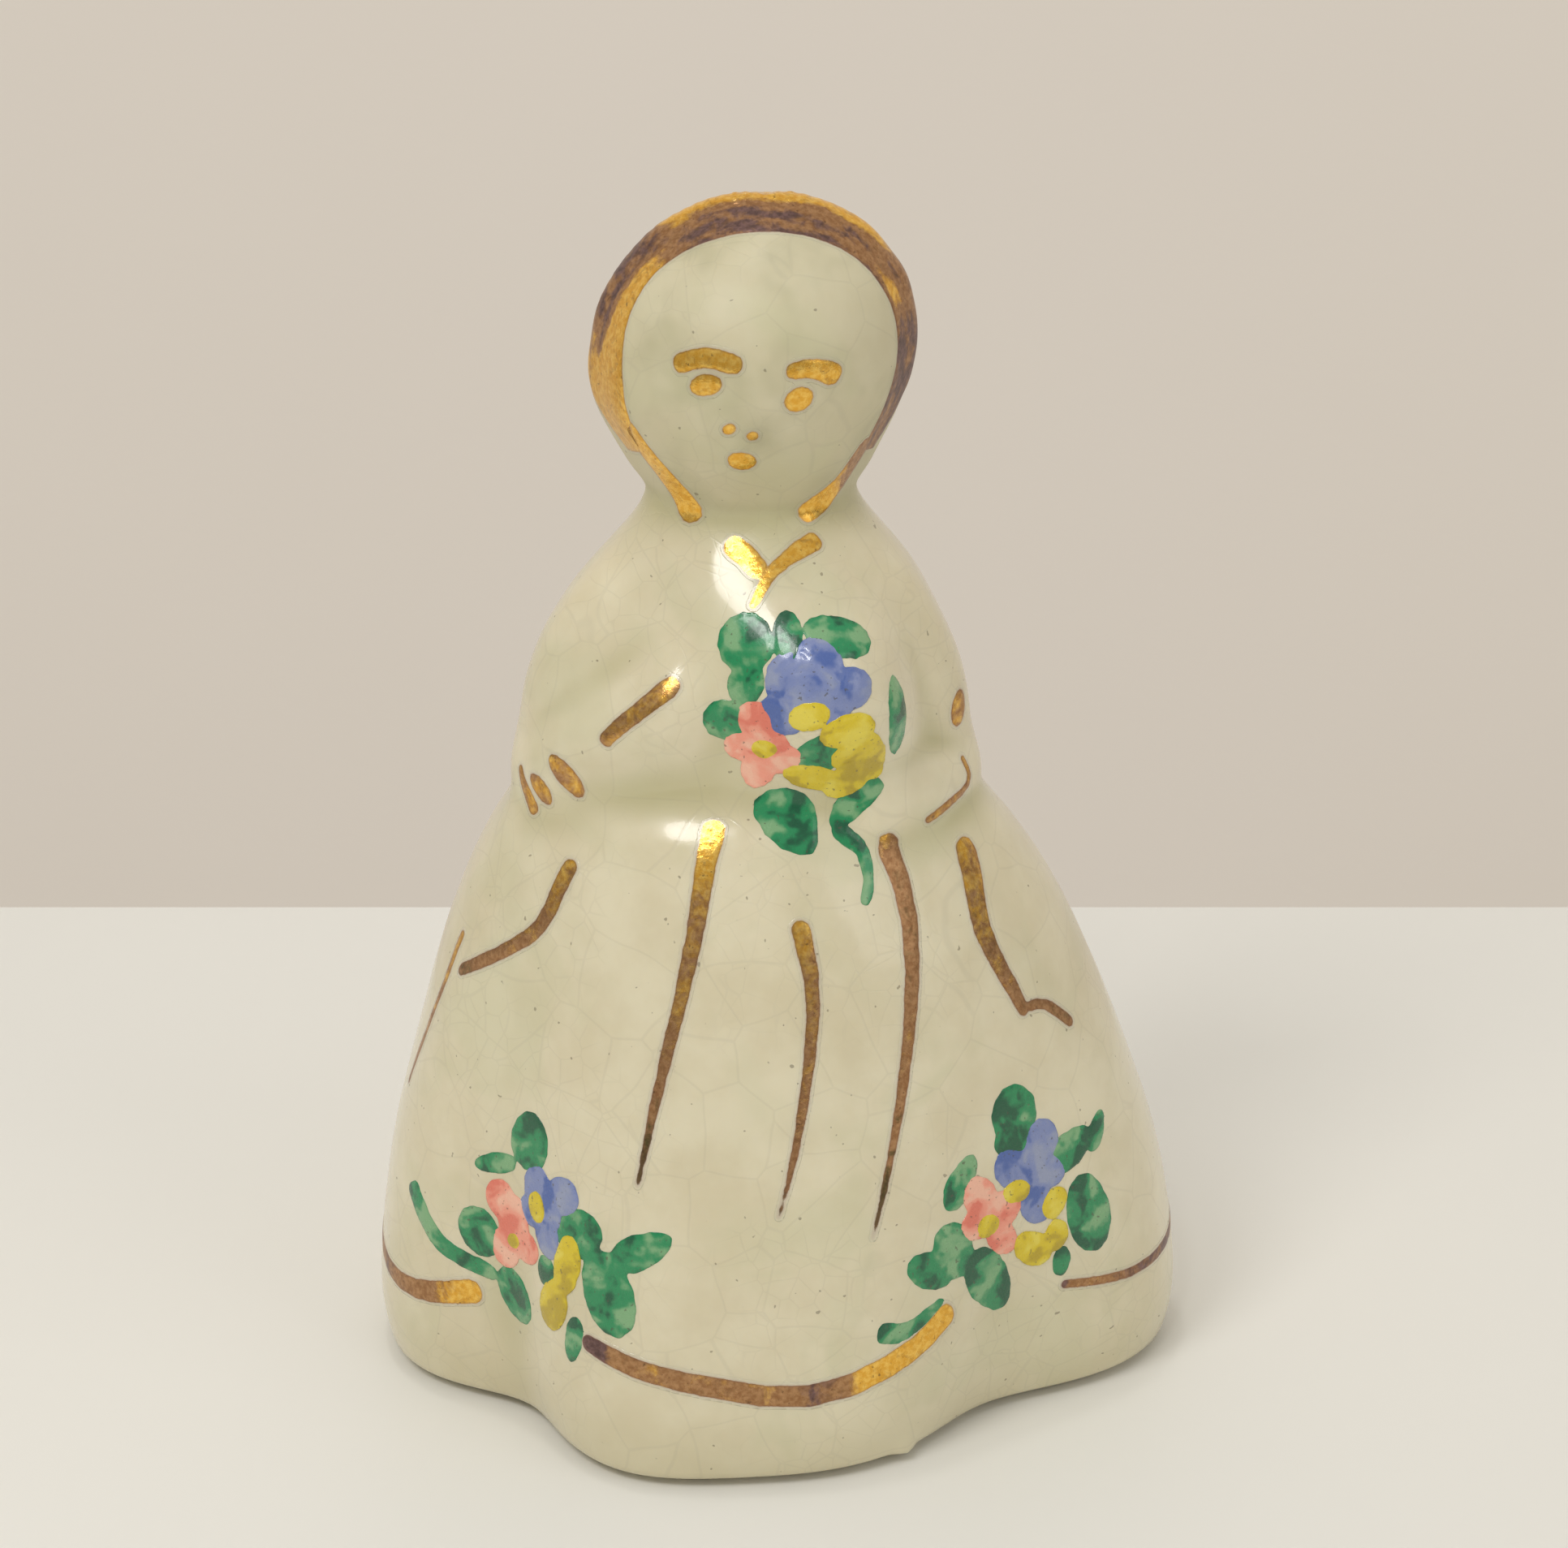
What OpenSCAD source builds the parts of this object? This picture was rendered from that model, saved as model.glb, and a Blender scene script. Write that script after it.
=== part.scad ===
// Porcelain figurine hand bell: a hollow lady in a bonnet and a wide gown, hand painted,
// with a clapper hung inside on a wire staple that is cemented into the shoulders.
//
// One rule, skin(turn, height), gives the glazed outer surface. The bell body is built
// from it, and so is every gold line and enamel dab, so the painting follows the shape.
// turn is in degrees round the upright axis: 0 faces front (-Y), 90 faces +X.

/* [Skirt] */
// Height from the hem to the waist
skirt_h = 38; // [32:1:46]
// Width across the widest part of the skirt
skirt_w = 51; // [42:1:62]
// Depth from the upright axis to the front of the skirt
skirt_front = 20.5; // [17:0.5:25]
// Depth from the upright axis to the back of the skirt
skirt_back = 17.5; // [15:0.5:22]
// How far the skirt draws in again at the hem
hem_tuck = 0.7; // [0:0.1:1.5]
// Strength of the skirt's waves at the hem, as a share of its radius
hem_wave = 1; // [0:0.1:1.2]

/* [Bodice] */
// Height from the waist to the neck
bodice_h = 19; // [16:1:24]
// Width of the bodice at the waist, without the arms
waist_w = 27; // [24:1:32]
// Depth from the axis to the front of the waist
waist_front = 10.5; // [9:0.5:13]
// Depth from the axis to the back of the waist
waist_back = 9.5; // [8:0.5:12]
// How much higher the waistline sits in front than at the sides
waist_rise = 3; // [0:0.5:5]
// Width across the neck
neck_w = 11.8; // [10:0.5:14]
// How far the figure leans to one side above the waist
lean = 2.2; // [0:0.5:3]
// How far the arms stand out from the bodice
arm_relief = 1.7; // [0.5:0.1:2.5]
// How far the posy in her hands stands out from the bodice
posy_relief = 3.6; // [2:0.1:5]

/* [Head] */
// Height of the head from the chin to the crown
head_h = 18; // [17:1:24]
// Width of the head, without the brim
head_w = 17.6; // [15:0.2:20]
// Depth of the head
head_d = 17; // [14:0.5:20]
// How far the bonnet's brim stands out round the face
brim_relief = 0.7; // [0.3:0.1:1.2]

/* [Wall] */
// Thickness of the porcelain in the skirt
wall = 2.4; // [1.8:0.1:3.2]
// Height of the hollow's roof above the waist
roof_rise = 12; // [9:0.5:14]

/* [Clapper] */
// Depth of the cement plug that holds the staple in the roof
plug_depth = 4; // [3:0.5:6]
// Wire diameter of the staple and of the shank
wire_d = 1; // [0.8:0.1:1.4]
// Inside width of the staple's arch
staple_gap = 3.2; // [2.6:0.1:4.5]
// How far the staple hangs below the plug
staple_drop = 3.6; // [3.2:0.1:5]
// Wire diameter of the linking ring
ring_wire_d = 0.8; // [0.6:0.1:1.2]
// Radius of the linking ring at the middle of its wire
ring_r = 1.9; // [1.6:0.1:3]
// Radius of the shank's eye at the middle of its wire
eye_r = 1.5; // [1.3:0.1:2.5]
// Diameter of the clapper ball
ball_d = 8; // [6:0.5:10]
// Height of the clapper ball's middle above the hem
ball_z = 13; // [9:0.5:18]
// Radial running clearance of the shank in the ball's bore
bore_play = 0.08; // [0.03:0.01:0.1]
// Diameter of the bead that stops the ball
stop_d = 2.6; // [2.2:0.1:4]

/* [Painting] */
// How far gold and enamel stand above the glaze
paint_lift = 0.12; // [0.08:0.01:0.2]
// How far gold and enamel reach into the glaze
paint_sink = 0.16; // [0.1:0.01:0.3]
// Width of a full brush line
brush_w = 1.4; // [0.8:0.1:2]
// Size of the small dabs, as a share of their drawn size
dab_size = 1.06; // [0.9:0.02:1.3]

/* [Hidden] */

// Heights of the figure's main levels
waist_z = skirt_h;
neck_z = waist_z + bodice_h;
chin_sink = 1;
neck_front = 0.46;
neck_back = 0.44;
head_z = neck_z - chin_sink + head_h / 2;
crown_z = head_z + head_h / 2;

// Half width, front depth and back depth at each of those levels
skirt_size = [skirt_w / 2, skirt_front, skirt_back];
waist_size = [waist_w / 2, waist_front, waist_back];
neck_size = [neck_w / 2, neck_w * neck_front, neck_w * neck_back];
head_size = [head_w / 2, head_d / 2, head_d / 2];

// The upright axis stands off the origin, which is in the middle of the skirt's footprint
axis_y = (skirt_front - skirt_back) / 2;

// How the skirt opens out, from the hem up: [share of skirt_h, share of the way from waist to skirt]
FLARE = [[0, 1], [0.12, 1], [0.35, 0.9], [0.53, 0.74], [0.69, 0.57], [0.83, 0.39], [0.94, 0.19], [1, 0]];
// How the shoulders close in: [share of bodice_h, share of the way from neck to waist]
SHOULDERS = [[0.2, 0.87], [0.37, 0.84], [0.53, 0.75], [0.68, 0.57], [0.8, 0.37], [0.92, 0.13], [1, 0]];
// How the lean varies above the waist: [share of the way to the crown, share of lean]
LEAN = [[0, 1], [0.3, 0.88], [0.44, 0.7], [0.56, 0.8], [0.68, 0.85], [0.78, 0.66], [0.88, 0.5], [1, 0.38]];
// Waves of the skirt: [middle in degrees, half width in degrees, share of the radius]
WAVES = [[-48, 15, -0.16], [-19, 11, 0.05], [42, 25, -0.24], [132, 20, -0.07], [-132, 20, -0.07]];

// ---- Curves and blends ----
function mix(a, b, s) = a + (b - a) * s;
function clamp(v, low, high) = min(max(v, low), high);
function ease(v) = let (s = clamp(v, 0, 1)) s * s * (3 - 2 * s);
function unit(v) = v / norm(v);
function smooth_max(a, b, soft) = max(a, b) + pow(max(soft - abs(a - b), 0), 2) / (4 * soft);
function hump(distance, width) = exp(-pow(distance / width, 2));

// A smooth curve through a table of [at, value] pairs
function step_at(table, at, i = 0) =
    i >= len(table) - 2 || at < table[i + 1][0] ? i : step_at(table, at, i + 1);
function slope_at(table, i) =
    let (low = max(i - 1, 0), high = min(i + 1, len(table) - 1))
    (table[high][1] - table[low][1]) / (table[high][0] - table[low][0]);
function curve(table, at) =
    let (
        i = step_at(table, at),
        span = table[i + 1][0] - table[i][0],
        s = clamp((at - table[i][0]) / span, 0, 1)
    )
    mix(table[i][1], table[i + 1][1], s * s * (3 - 2 * s))
        + span * s * (1 - s) * ((1 - s) * slope_at(table, i) - s * slope_at(table, i + 1));

// ---- The skin ----
// The neck runs on inside the head by this share of its height, and blends into the chin over this width
neck_reach = 0.65;
chin_blend = 2.5;
// The hem draws in over this share of the skirt's height
tuck_reach = 0.12;
// The head is this much fuller towards the crown than towards the chin
egg = 0.05;
// Half width, front depth and back depth of the gown against height; her waistline rises in front
TRUNK = [for (k = [0:2])
    let (line = waist_z + (k == 1 ? waist_rise : 0))
    concat(
        [for (f = FLARE) [f[0] * line, mix(waist_size[k], skirt_size[k], f[1])]],
        [for (s = SHOULDERS) [mix(line, neck_z, s[0]), mix(neck_size[k], waist_size[k], s[1])]]
    )];
function trunk_size(z) =
    z < neck_z ? [for (profile = TRUNK) curve(profile, z)]
    : neck_size * sqrt(max(0, 1 - pow((z - neck_z) / (neck_reach * head_h), 2)));
function head_part(z) =
    let (s = clamp((z - head_z) / (head_h / 2), -1, 1))
    head_size * (1 + egg * s) * sqrt(1 - s * s);
function tuck(z) = hem_tuck * pow(clamp(1 - z / (tuck_reach * skirt_h), 0, 1), 2);
function size_at(z) =
    let (trunk = trunk_size(z), head = head_part(z))
    [for (i = [0:2]) (z < neck_z - 3 ? trunk[i] : smooth_max(trunk[i], head[i], chin_blend)) - tuck(z)];
function shift_at(z) =
    z < waist_z ? -lean * (1 - curve(FLARE, z / skirt_h))
    : -lean * curve(LEAN, (z - waist_z) / (crown_z - waist_z));
function turn_gap(a, b) = abs((a - b + 540) % 360 - 180);
function wave_at(turn, z) =
    1 + hem_wave * pow(clamp(1 - z / skirt_h, 0, 1), 1.2)
        * [for (w = WAVES) w[2] * hump(turn_gap(turn, w[0]), w[1])] * [for (w = WAVES) 1];

// The figure without her arms, posy and brim
function plain_skin(turn, z) =
    let (size = size_at(z), wave = wave_at(turn, z), depth = cos(turn) > 0 ? size[1] : size[2])
    [shift_at(z) + size[0] * wave * sin(turn), axis_y - depth * wave * cos(turn), z];
function outward(turn, z) =
    let (
        high = min(z + 0.2, crown_z - 0.001),
        low = min(z - 0.2, crown_z - 0.4),
        level = min(z, crown_z - 0.05),
        across = plain_skin(turn + 2, level) - plain_skin(turn - 2, level),
        up = plain_skin(turn, high) - plain_skin(turn, low)
    )
    unit(cross(across, up));
function mm_per_degree(turn, z) = norm(plain_skin(turn + 2, z) - plain_skin(turn - 2, z)) / 4;

// Places on the figure are [turn, level]: level 0 is the hem, 100 the waist, 200 the neck, 300 the crown
function height_of(level) =
    level < 100 ? waist_z * level / 100
    : level < 200 ? mix(waist_z, neck_z, level / 100 - 1)
    : mix(neck_z, crown_z, level / 100 - 2);

// What stands out from the plain skin: [from, to, half width, height]
RELIEFS = [
    [[-64, 162], [-82, 120], 3.4, arm_relief * 0.75],
    [[-74, 111], [-22, 142], 2.8, arm_relief],
    [[62, 162], [84, 112], 3.4, arm_relief * 0.85],
    [[76, 108], [40, 116], 2.8, arm_relief],
    [[23, 151], [26, 144], 4.8, posy_relief],
];
// Hollows between her upper arms and the chest, in the same form
HOLLOWS = [[[-46, 168], [-44, 160], 3, 0.7], [[54, 158], [54, 147], 2.4, 0.5]];
function along(from, to, at) =
    clamp((at - from) * (to - from) / max((to - from) * (to - from), 0.001), 0, 1);
function relief_of(r, turn, z) =
    let (
        wide = mm_per_degree(turn, z),
        from = [r[0][0] * wide, height_of(r[0][1])],
        to = [r[1][0] * wide, height_of(r[1][1])],
        at = [turn * wide, z],
        near = mix(from, to, along(from, to, at))
    )
    r[3] * hump(norm(at - near), r[2]);
brim_y = 0.6;
brim_half = 1.9;
function brim_at(turn, z) =
    brim_relief * hump(plain_skin(turn, z)[1] - axis_y - brim_y, brim_half) * ease((z - neck_z + 1) / 3);
function total(values) = values * [for (v = values) 1];
function relief_at(turn, z) =
    let (side = (turn + 540) % 360 - 180)
    z > neck_z + 2 ? brim_at(side, z)
    : brim_at(side, z)
        + pow(total([for (r = RELIEFS) pow(relief_of(r, side, z), 3)]), 1 / 3)
        - total([for (h = HOLLOWS) relief_of(h, side, z)]);
function skin(turn, z) = plain_skin(turn, z) + outward(turn, z) * relief_at(turn, z);

// ---- Bell body ----
SIDES = 72;
hem_round = 0.6;
function rounding(z) =
    z < hem_round ? hem_round - sqrt(pow(hem_round, 2) - pow(hem_round - z, 2)) : 0;
skirt_rings = [for (i = [1:18]) mix(hem_round, waist_z, i / 18)];
bodice_rings = [for (i = [1:16]) mix(waist_z, neck_z, i / 16)];
chin_rings = [for (i = [1:4]) mix(neck_z, head_z - head_h * 0.25, i / 4)];
head_rings = [for (i = [1:13]) head_z + head_h / 2 * sin(-30 + 120 * i / 14)];
outer_z = concat(
    [0, 0.2 * hem_round, 0.5 * hem_round, hem_round],
    skirt_rings, bodice_rings, chin_rings, head_rings
);

roof_z = waist_z + roof_rise;
// The hollow starts to close this far above the waist
dome_start = 2;
dome_z = waist_z + dome_start;
function hollow(turn, z) =
    let (
        size = trunk_size(z) - [wall, wall, wall] - tuck(z) * [1, 1, 1],
        close = z < dome_z ? 1 : sqrt(max(0, 1 - pow((z - dome_z) / (roof_z - dome_z), 2))),
        wave = wave_at(turn, z),
        depth = cos(turn) > 0 ? size[1] : size[2]
    )
    [shift_at(z) + size[0] * wave * close * sin(turn), axis_y - depth * wave * close * cos(turn), z];
inner_z = concat(
    [for (i = [0:11]) dome_z * i / 11],
    [for (i = [1:6]) mix(dome_z, roof_z, sin(90 * i / 7))]
);

function turn_of(i) = 360 * i / SIDES;
function band_faces(rows, from) = [
    for (r = [0:rows - 2]) for (i = [0:SIDES - 1])
        let (a = from + r * SIDES + i, b = from + r * SIDES + (i + 1) % SIDES)
        each [[a, a + SIDES, b + SIDES], [a, b + SIDES, b]]
];
function flip(faces) = [for (f = faces) [f[2], f[1], f[0]]];

module bell_body() {
    outer = [for (z = outer_z) for (i = [0:SIDES - 1])
        skin(turn_of(i), z) - rounding(z) * [sin(turn_of(i)), -cos(turn_of(i)), 0]];
    inner = [for (z = inner_z) for (i = [0:SIDES - 1]) hollow(turn_of(i), z)];
    first_inner = len(outer);
    crown = len(outer) + len(inner);
    roof = crown + 1;
    last_outer = first_inner - SIDES;
    last_inner = crown - SIDES;
    crown_point = [shift_at(crown_z), axis_y, crown_z + brim_at(0, crown_z)];
    roof_point = [shift_at(roof_z), axis_y, roof_z];
    rim = [for (i = [0:SIDES - 1])
        let (j = (i + 1) % SIDES)
        each [[i, j, first_inner + j], [i, first_inner + j, first_inner + i]]];
    crown_cap = [for (i = [0:SIDES - 1]) [last_outer + i, crown, last_outer + (i + 1) % SIDES]];
    roof_cap = [for (i = [0:SIDES - 1]) [last_inner + i, last_inner + (i + 1) % SIDES, roof]];
    color("ivory")
        polyhedron(
            points = concat(outer, inner, [crown_point, roof_point]),
            faces = concat(
                band_faces(len(outer_z), 0), flip(band_faces(len(inner_z), first_inner)),
                rim, crown_cap, roof_cap
            )
        );
}

// ---- Clapper ----
plug_z = roof_z - plug_depth;
staple_r = (staple_gap + wire_d) / 2;
arch_z = plug_z - staple_drop + staple_r + wire_d / 2;
link_gap = 0.05;
link_rise = (wire_d + ring_wire_d) / 2 + link_gap;
hang_x = shift_at(plug_z);
// Bottom of the staple's arch, where the ring swings, and bottom of the ring, where the shank swings
ring_pivot_z = arch_z - staple_r;
ring_z = ring_pivot_z + link_rise - ring_r;
clapper_pivot_z = ring_z - ring_r;
eye_z = clapper_pivot_z + link_rise - eye_r;
bore_r = wire_d / 2 + bore_play;
// The bore's mouth lies this far from the ball's middle; the stop's shoulder has the same radius
mouth_drop = sqrt(pow(ball_d / 2, 2) - pow(bore_r, 2));
shoulder_rise = sqrt(pow(stop_d / 2, 2) - pow(bore_r, 2));
stop_z = ball_z - mouth_drop - bore_play - shoulder_rise;
pinch_d = 1.5 * wire_d;
pinch_h = 0.8;

// Cement poured into the upturned roof, where it set with a level face
module cement_plug() {
    plug_rings = [for (i = [0:3]) mix(plug_z, inner_z[len(inner_z) - 1], i / 3)];
    points = [for (z = plug_rings) for (i = [0:SIDES - 1]) hollow(turn_of(i), z)];
    top = len(points);
    under = top + 1;
    last = top - SIDES;
    color("gainsboro")
        polyhedron(
            points = concat(points, [[shift_at(roof_z), axis_y, roof_z], [hang_x, axis_y, plug_z]]),
            faces = concat(
                band_faces(len(plug_rings), 0),
                [for (i = [0:SIDES - 1]) [last + i, top, last + (i + 1) % SIDES]],
                [for (i = [0:SIDES - 1]) [i, (i + 1) % SIDES, under]]
            )
        );
}

module wire_ring(radius, wire) {
    rotate_extrude($fn = 48) translate([radius, 0]) circle(d = wire, $fn = 24);
}

// The legs reach this share of the way up through the plug
leg_hold = 0.6;
module staple() {
    leg_top = plug_z + plug_depth * leg_hold;
    color("darkgoldenrod") translate([hang_x, axis_y, 0]) {
        translate([0, 0, arch_z]) rotate([-90, 0, 0]) rotate_extrude(angle = 180, $fn = 48)
            translate([staple_r, 0]) circle(d = wire_d, $fn = 24);
        for (side = [-1, 1])
            translate([side * staple_r, 0, arch_z]) cylinder(d = wire_d, h = leg_top - arch_z, $fn = 24);
    }
}

module hanger_ring() {
    color("goldenrod") translate([hang_x, axis_y, ring_z]) rotate([0, 90, 0])
        wire_ring(ring_r, ring_wire_d);
}

// The eye, the straight wire, and the pinched swelling that keeps the ball from riding up
module clapper_shank() {
    wire_top = eye_z - eye_r;
    wire_end = stop_z - stop_d / 4;
    color("goldenrod") translate([hang_x, axis_y, 0]) {
        translate([0, 0, eye_z]) rotate([90, 0, 0]) wire_ring(eye_r, wire_d);
        translate([0, 0, wire_end]) cylinder(d = wire_d, h = wire_top - wire_end, $fn = 24);
        translate([0, 0, ball_z + ball_d / 2 + bore_play]) cylinder(d = pinch_d, h = pinch_h, $fn = 24);
    }
}

module clapper_stop() {
    color("goldenrod") translate([hang_x, axis_y, stop_z]) sphere(d = stop_d, $fn = 32);
}

module clapper_ball() {
    color("ivory") translate([hang_x, axis_y, ball_z]) difference() {
        sphere(d = ball_d, $fn = 48);
        cylinder(r = bore_r, h = ball_d + 2, center = true, $fn = 32);
    }
}

// ---- Painting ----
edge_lift = paint_lift / 3;
function spot(at) = [at[0], height_of(at[1])];
function turns_of(points) = [for (i = [0:len(points) - 1]) [i, points[i][0]]];
function levels_of(points) = [for (i = [0:len(points) - 1]) [i, points[i][1]]];

// One brush line through points of [turn, level]; its width runs from the first to the second value
module brush(points, widths = [1, 0.15], steps = 12, layer = 0) {
    reach = len(points) - 1;
    marks = [for (i = [0:steps]) (1 - cos(180 * i / steps)) / 2];
    spots = [for (s = marks)
        spot([curve(turns_of(points), s * reach), curve(levels_of(points), s * reach)])];
    path = [for (p = spots) skin(p[0], p[1])];
    length = total([for (i = [1:steps]) norm(path[i] - path[i - 1])]);
    bars = [for (i = [0:steps])
        let (
            face = outward(spots[i][0], spots[i][1]),
            side = unit(cross(face, path[min(i + 1, steps)] - path[max(i - 1, 0)])),
            full = brush_w / 2 * mix(widths[0], widths[1], marks[i]),
            into_end = min(marks[i], 1 - marks[i]) * length / full,
            half = full * (into_end < 1 ? sqrt(1 - pow(1 - into_end, 2)) * 0.7 + 0.3 : 1)
        )
        [
            path[i] - side * half - face * paint_sink, path[i] + side * half - face * paint_sink,
            path[i] + side * half + face * (edge_lift + layer), path[i] + face * (paint_lift + layer),
            path[i] - side * half + face * (edge_lift + layer)
        ]];
    corners = len(bars[0]);
    last = steps * corners;
    walls = [for (i = [0:steps - 1]) for (k = [0:corners - 1])
        let (a = i * corners + k, b = i * corners + (k + 1) % corners)
        each [[a, a + corners, b], [b, a + corners, b + corners]]];
    polyhedron(
        points = [for (bar = bars) each bar],
        faces = concat(
            walls,
            [[for (k = [0:corners - 1]) k], [for (k = [corners - 1:-1:0]) last + k]]
        )
    );
}

// One dab of the brush, [turn, level, length, width, heading], pointed towards its heading by tip.
// Its size is in millimetres on a figure of the drawn sizes, and it stretches with another figure.
DAB_SIDES = 12;
DRAWN_SKIRT = [51, 38];
DRAWN_BODICE = [27, 19];
function stretch(level) =
    level < 100 ? [skirt_w / DRAWN_SKIRT[0], skirt_h / DRAWN_SKIRT[1]]
    : [waist_w / DRAWN_BODICE[0], bodice_h / DRAWN_BODICE[1]];
module dab(d, tip = 0, layer = 0) {
    middle = spot(d);
    face = outward(middle[0], middle[1]);
    rise = norm([face[0], face[1]]);
    wide = mm_per_degree(middle[0], middle[1]);
    grow = stretch(d[1]);
    size = [d[2], d[3]] * dab_size;
    rim = [for (i = [0:DAB_SIDES - 1])
        let (
            a = 360 * i / DAB_SIDES,
            u = size[0] / 2 * cos(a),
            v = size[1] / 2 * sin(a) * (1 - tip * cos(a))
        )
        [
            middle[0] + grow[0] * (u * cos(d[4]) - v * sin(d[4])) / wide,
            middle[1] + grow[1] * (u * sin(d[4]) + v * cos(d[4])) * rise
        ]];
    points = concat(
        [for (p = rim) skin(p[0], p[1]) + outward(p[0], p[1]) * (edge_lift + layer)],
        [for (p = rim) skin(p[0], p[1]) - outward(p[0], p[1]) * paint_sink],
        [skin(middle[0], middle[1]) + face * (paint_lift + layer)]
    );
    hull() polyhedron(points = points, faces = [[for (k = [0:len(points) - 1]) k]]);
}
module dabs(list, tip = 0, layer = 0) { for (d = list) dab(d, tip, layer); }

// The lustre over the bonnet's brim. clock runs round the face from the crown, and forward
// runs from the brim's plane towards the face, both in degrees.
BAND_INNER = [[-125, 33], [-95, 33], [-65, 24], [-45, 20], [0, 21], [45, 18], [90, 19], [125, 22]];
BAND_OUTER = [[-125, 14], [-100, -2], [-60, -14], [0, -26], [60, -16], [125, 8]];
BAND_STEPS = 32;
BAND_COLUMNS = 4;
function on_head(clock, forward) =
    let (d = [sin(clock) * cos(forward), -sin(forward), cos(clock) * cos(forward)])
    [atan2(d[0], -d[1]), head_z + head_h / 2 * d[2]];
module gold_hair_band() {
    grid = [for (i = [0:BAND_STEPS]) for (j = [0:BAND_COLUMNS])
        let (clock = mix(-125, 125, i / BAND_STEPS))
        on_head(clock, mix(curve(BAND_OUTER, clock), curve(BAND_INNER, clock), j / BAND_COLUMNS))];
    across = BAND_COLUMNS + 1;
    count = len(grid);
    inside = function (k)
        k % across > 0 && k % across < BAND_COLUMNS && k >= across && k < count - across;
    top = [for (k = [0:count - 1])
        skin(grid[k][0], grid[k][1])
            + outward(grid[k][0], grid[k][1]) * (inside(k) ? paint_lift : edge_lift)];
    under = [for (p = grid) skin(p[0], p[1]) - outward(p[0], p[1]) * paint_sink];
    cells = [for (i = [0:BAND_STEPS - 1]) for (j = [0:BAND_COLUMNS - 1])
        let (a = i * across + j)
        each [[a, a + 1, a + across], [a + 1, a + across + 1, a + across]]];
    sides = [for (i = [0:BAND_STEPS - 1])
        let (a = i * across, b = i * across + BAND_COLUMNS)
        each [
            [a, a + across, a + count], [a + across, a + across + count, a + count],
            [b, b + count, b + across], [b + across, b + count, b + across + count]
        ]];
    ends = [for (j = [0:BAND_COLUMNS - 1])
        let (a = j, b = count - across + j)
        each [
            [a, a + count, a + 1], [a + 1, a + count, a + 1 + count],
            [b, b + 1, b + count], [b + 1, b + 1 + count, b + count]
        ]];
    color("darkgoldenrod")
        polyhedron(
            points = concat(top, under),
            faces = concat(
                flip(cells), [for (f = cells) f + [count, count, count]],
                flip(sides), flip(ends)
            )
        );
}

module gold_bonnet_ties() {
    color("goldenrod") {
        brush([[-58, 230], [-48, 217], [-33, 198]], [0.8, 0.9]);
        brush([[66, 222], [54, 208], [30, 199]], [0.9, 0.7]);
    }
}

module gold_face() {
    color("goldenrod") {
        brush([[-32, 257], [-20, 261], [-5, 259]], [0.8, 0.8], steps = 8);
        brush([[12, 257], [23, 257], [34, 253]], [0.6, 1], steps = 8);
        dabs([[-18, 252, 1.8, 1.2, 10], [18, 247, 1.6, 1.4, 0]]);
        dabs([[-7, 237, 0.8, 0.6, 40], [2, 235, 0.6, 0.6, 0]]);
        dab([-2, 224, 1.6, 1.3, 0]);
    }
}

module gold_collar() {
    color("gold") {
        brush([[33, 192], [19, 189], [7, 184], [0, 175]], [0.9, 0.3]);
        brush([[-12, 193], [-3, 189], [4, 184]], [0.9, 0.9]);
    }
}

module gold_sleeves() {
    color("goldenrod") {
        brush([[-19, 154], [-31, 141], [-37, 132]], [0.9, 0.6]);
        brush([[-69, 113], [-67, 107], [-62, 101]], [0.3, 0.7]);
        dabs([[-60, 109, 1.8, 1.2, -40], [-50, 117, 2.8, 1.5, -50]]);
        brush([[68, 117], [69, 108], [60, 105], [50, 103]], [0.3, 0.3]);
        dab([70, 133, 2, 1.2, 80]);
    }
}

module gold_skirt_folds() {
    color("peru") {
        brush([[-7, 111], [-11, 92], [-17, 68], [-20, 51]]);
        brush([[10, 92], [10, 80], [5, 60], [1, 47]], [0.8, 0.1]);
        brush([[39, 103], [32, 85], [22, 60], [15, 42]], [1, 0.1]);
    }
}

module gold_drapes() {
    color("peru") {
        brush([[59, 97], [51, 85], [55, 70]], [1.3, 0.6]);
        brush([[56, 71], [61, 70], [67, 65]], [0.4, 0.5], steps = 8);
        brush([[-44, 97], [-47, 87], [-55, 81], [-70, 73]], [0.8, 0.5]);
        brush([[-73, 79], [-76, 66], [-82, 49]], [0.4, 0.25]);
    }
}

// The hem's swags: one in front, and one round each side that fades out behind
module gold_hem_swags() {
    color("goldenrod") {
        brush([[-28, 24], [-12, 20], [4, 17], [20, 21], [29, 26]], [0.8, 1.2], steps = 16);
        brush([[-54, 22], [-68, 18], [-84, 19], [-108, 26]], [1.2, 0.3], steps = 16);
        brush([[54, 22.5], [70, 20], [90, 21], [112, 28]], [0.4, 0.5], steps = 16);
    }
}

// Leaves lie lowest, petals over them, and the flowers' yellow hearts on top
petal_layer = 0.04;
heart_layer = 0.09;

module posy_leaves() {
    color("mediumseagreen") {
        dabs([[-1, 166, 3.2, 2.8, 100], [0, 155, 2.4, 1.8, 70], [-4, 143, 2.8, 2.4, 160]]);
        dabs([[11, 167, 2.8, 1.4, 90], [25, 166, 3.4, 2, -20], [39, 141, 4.4, 1.4, 90]]);
        dabs([[12, 111, 4.8, 3, -60], [29, 114, 3.6, 2, -130]], tip = 0.3);
        dab([18, 134, 3, 2.2, 70], layer = heart_layer);
        brush([[24, 108], [31, 100], [25, 93]], [0.8, 0.4]);
    }
}

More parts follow.
